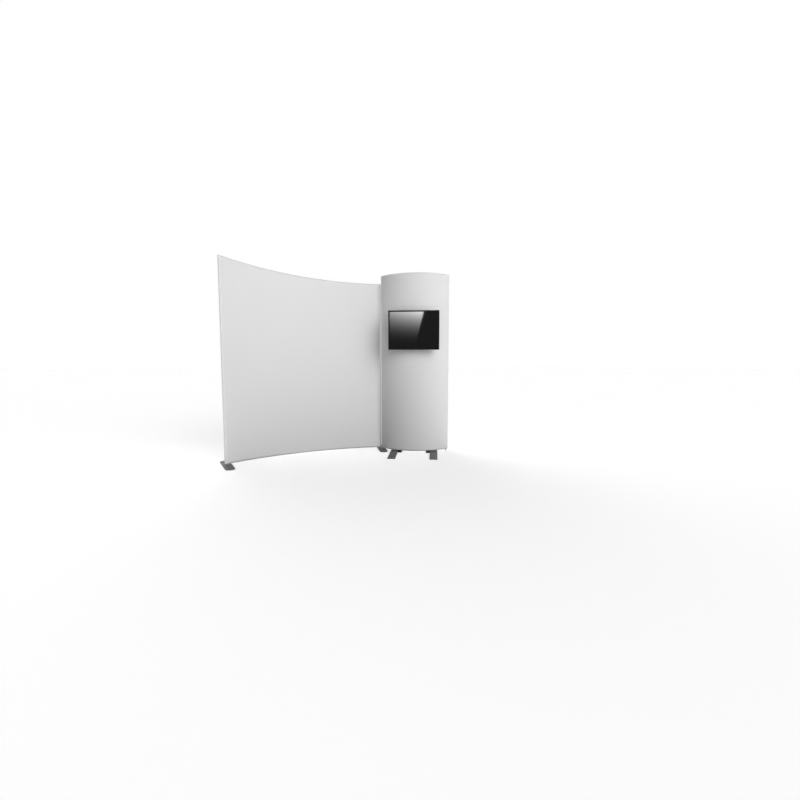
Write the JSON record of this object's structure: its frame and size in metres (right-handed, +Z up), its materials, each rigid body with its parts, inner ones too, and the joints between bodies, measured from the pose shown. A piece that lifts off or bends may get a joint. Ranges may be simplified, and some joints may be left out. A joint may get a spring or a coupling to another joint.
{
  "type": "fabric backwall",
  "caption": "Free-standing curved white fabric display wall on a tube frame, joined to a bowed fabric column that carries a tilting screen.",
  "frame": {"origin": "on the floor, under the middle of the whole part's bounding box", "axes": "+X along the wall towards the column, +Y away from the viewer, +Z up"},
  "size_m": [2.9576, 1.2923, 2.5099],
  "materials": {
    "white_fabric": "smooth stretch knit, matt",
    "tube_aluminium": "satin anodised",
    "cast_connector": "cast, dull",
    "foot_grey": "fine powder coat",
    "black_plastic": "moulded, satin",
    "black_steel": "powder coat, satin",
    "zip_tape": "woven tape",
    "zip_metal": "polished casting",
    "screen_black": "gloss",
    "screen_glass": "dark, polished",
    "display_panel": "sheet",
    "board_green": "lacquered",
    "spring_steel": "bright"
  },
  "bodies": {
    "frame": {"column_bottom_rail": "tube_aluminium", "column_corner_bottom_left": "cast_connector", "column_corner_bottom_right": "cast_connector", "column_corner_top_left": "cast_connector", "column_corner_top_right": "cast_connector", "column_cover": "white_fabric", "column_left_foot_plate": "foot_grey", "column_left_post": "tube_aluminium", "column_left_post_bolt": "spring_steel", "column_left_shoe": "black_plastic", "column_left_upright": "tube_aluminium", "column_right_foot_plate": "foot_grey", "column_right_post": "tube_aluminium", "column_right_post_bolt": "spring_steel", "column_right_shoe": "black_plastic", "column_right_upright": "tube_aluminium", "column_top_rail": "tube_aluminium", "column_zip_tape": "zip_tape", "junction_foot_plate": "foot_grey", "mount_cross_plate": "black_steel", "mount_left_arm": "black_steel", "mount_right_arm": "black_steel", "wall_bottom_rail_left": "tube_aluminium", "wall_bottom_rail_right": "tube_aluminium", "wall_bottom_tee": "cast_connector", "wall_corner_bottom_left": "cast_connector", "wall_corner_bottom_right": "cast_connector", "wall_corner_top_left": "cast_connector", "wall_corner_top_right": "cast_connector", "wall_cover": "white_fabric", "wall_left_upright_lower": "tube_aluminium", "wall_left_upright_upper": "tube_aluminium", "wall_middle_upright_lower": "tube_aluminium", "wall_middle_upright_upper": "tube_aluminium", "wall_right_upright_lower": "tube_aluminium", "wall_right_upright_upper": "tube_aluminium", "wall_top_rail_left": "tube_aluminium", "wall_top_rail_right": "tube_aluminium", "wall_top_tee": "cast_connector", "wall_zip_tape": "zip_tape"},
    "screen": {"screen_bezel": "screen_black", "screen_display_panel": "display_panel", "screen_glass": "screen_glass", "screen_left_rail": "black_steel", "screen_main_board": "board_green", "screen_power_inlet": "black_plastic", "screen_rear_shell": "black_plastic", "screen_right_rail": "black_steel"},
    "left_foot": {"wall_left_foot_plate": "foot_grey"},
    "left_knob": {"mount_left_knob": "black_plastic"},
    "right_knob": {"mount_right_knob": "black_plastic"},
    "power_button": {"screen_power_button": "black_plastic"},
    "left_snap_button": {"wall_left_upright_snap_button": "spring_steel"},
    "middle_snap_button": {"wall_middle_upright_snap_button": "spring_steel"},
    "right_snap_button": {"wall_right_upright_snap_button": "spring_steel"},
    "wall_zip": {"wall_zip_slider": "zip_metal"},
    "column_zip": {"column_zip_slider": "zip_metal"}
  },
  "joints": [
    {"name": "wall_left_foot_swivel", "type": "hinge", "parent": "frame", "child": "left_foot", "pos_m": [-1.4218, 0.39614, 0], "axis": [0, 0, 1], "range_deg": [-90, 90]},
    {"name": "screen_tilt", "type": "hinge", "parent": "frame", "child": "screen", "pos_m": [0.9272, -0.14215, 1.684], "axis": [0.8241, -0.5664, 0], "range_deg": [-5, 10]},
    {"name": "left_knob_turn", "type": "hinge", "parent": "frame", "child": "left_knob", "pos_m": [0.7374, -0.01171, 1.684], "axis": [0.8241, -0.5664, 0], "continuous": true},
    {"name": "right_knob_turn", "type": "hinge", "parent": "frame", "child": "right_knob", "pos_m": [1.11699, -0.2726, 1.684], "axis": [0.8241, -0.5664, 0], "continuous": true},
    {"name": "power_button_press", "type": "slide", "parent": "screen", "child": "power_button", "axis": [0, 0, 1], "range_m": [0, 0.001], "stiffness_N_per_m": 800},
    {"name": "left_snap_button_press", "type": "slide", "parent": "frame", "child": "left_snap_button", "axis": [-0.949, -0.3152, 0], "range_m": [0, 0.0045], "stiffness_N_per_m": 800},
    {"name": "middle_snap_button_press", "type": "slide", "parent": "frame", "child": "middle_snap_button", "axis": [-0.9998, 0.0206, 0], "range_m": [0, 0.0045], "stiffness_N_per_m": 800},
    {"name": "right_snap_button_press", "type": "slide", "parent": "frame", "child": "right_snap_button", "axis": [0.9539, -0.3002, 0], "range_m": [0, 0.0045], "stiffness_N_per_m": 800},
    {"name": "wall_zip_run", "type": "hinge", "parent": "frame", "child": "wall_zip", "pos_m": [-0.3456, -2.5607, 0], "axis": [0, 0, 1], "range_deg": [0, 35.5]},
    {"name": "column_zip_run", "type": "slide", "parent": "frame", "child": "column_zip", "axis": [0, 0, 1], "range_m": [0, 2.12]}
  ]
}
